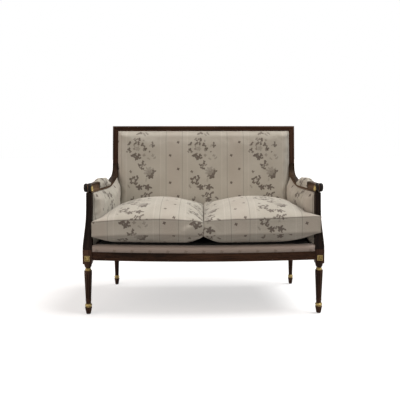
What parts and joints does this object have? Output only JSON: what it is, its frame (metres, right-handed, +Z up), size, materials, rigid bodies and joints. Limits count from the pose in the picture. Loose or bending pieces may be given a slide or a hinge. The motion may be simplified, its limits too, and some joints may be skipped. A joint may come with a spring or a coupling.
{
  "type": "two-seater settee",
  "caption": "Show-wood settee with a square stuffed back, open scrolled arms, turned legs with gilt rings, a bowed seat rail and loose seat cushions that lift off.",
  "frame": {"origin": "on the floor, under the middle of the settee's overall box", "axes": "+Z up, +X towards the sitter's left hand, which is on the right of the picture, and +Y towards the back, so sitters face -Y"},
  "size_m": [1.2796, 0.7325, 0.978],
  "materials": {
    "mahogany": "satin",
    "beech": "matte",
    "gilt": "satin",
    "steel": "satin",
    "floral_stripe": "matte",
    "black_cambric": "matte",
    "jute_web": "matte",
    "zip_tape": "matte"
  },
  "bodies": {
    "frame": {"front_leg_left": "mahogany", "front_leg_right": "mahogany", "rear_post_left": "mahogany", "rear_post_right": "mahogany", "toe_front_left": "mahogany", "toe_front_right": "mahogany", "toe_rear_left": "mahogany", "toe_rear_right": "mahogany", "front_rail": "mahogany", "side_rail_left": "mahogany", "side_rail_right": "mahogany", "back_seat_rail": "mahogany", "top_rail": "mahogany", "arm_post_left": "mahogany", "arm_post_right": "mahogany", "arm_rail_left": "mahogany", "arm_rail_right": "mahogany", "scroll_boss_left": "mahogany", "scroll_boss_right": "mahogany", "arm_rosette_left": "gilt", "arm_rosette_right": "gilt", "block_rosette_left": "gilt", "block_rosette_right": "gilt", "collar_ring_left": "gilt", "collar_ring_right": "gilt", "ankle_ring_front_left": "gilt", "ankle_ring_front_right": "gilt", "ankle_ring_rear_left": "gilt", "ankle_ring_rear_right": "gilt", "glide_front_left": "steel", "glide_front_right": "steel", "glide_rear_left": "steel", "glide_rear_right": "steel", "seat_brace": "beech", "corner_block_front_left": "beech", "corner_block_front_right": "beech", "corner_block_rear_left": "beech", "corner_block_rear_right": "beech", "arm_tack_rail_left": "beech", "arm_tack_rail_right": "beech", "lower_back_rail": "beech", "seat_webbing": "jute_web", "back_webbing": "jute_web", "dust_cover": "black_cambric", "back_pad": "floral_stripe", "outer_back_panel": "floral_stripe", "arm_inner_pad_left": "floral_stripe", "arm_inner_pad_right": "floral_stripe", "arm_outer_panel_left": "floral_stripe", "arm_outer_panel_right": "floral_stripe", "arm_pad_left": "floral_stripe", "arm_pad_right": "floral_stripe", "front_border": "floral_stripe", "seat_deck": "floral_stripe"},
    "cushion_left": {"seat_cushion_left": "floral_stripe", "cushion_zip_left": "zip_tape"},
    "cushion_right": {"seat_cushion_right": "floral_stripe", "cushion_zip_right": "zip_tape"}
  },
  "joints": [
    {"name": "cushion_left_lift", "type": "slide", "parent": "frame", "child": "cushion_left", "axis": [0, 0, 1], "range_m": [0, 0.35]},
    {"name": "cushion_right_lift", "type": "slide", "parent": "frame", "child": "cushion_right", "axis": [0, 0, 1], "range_m": [0, 0.35]}
  ]
}
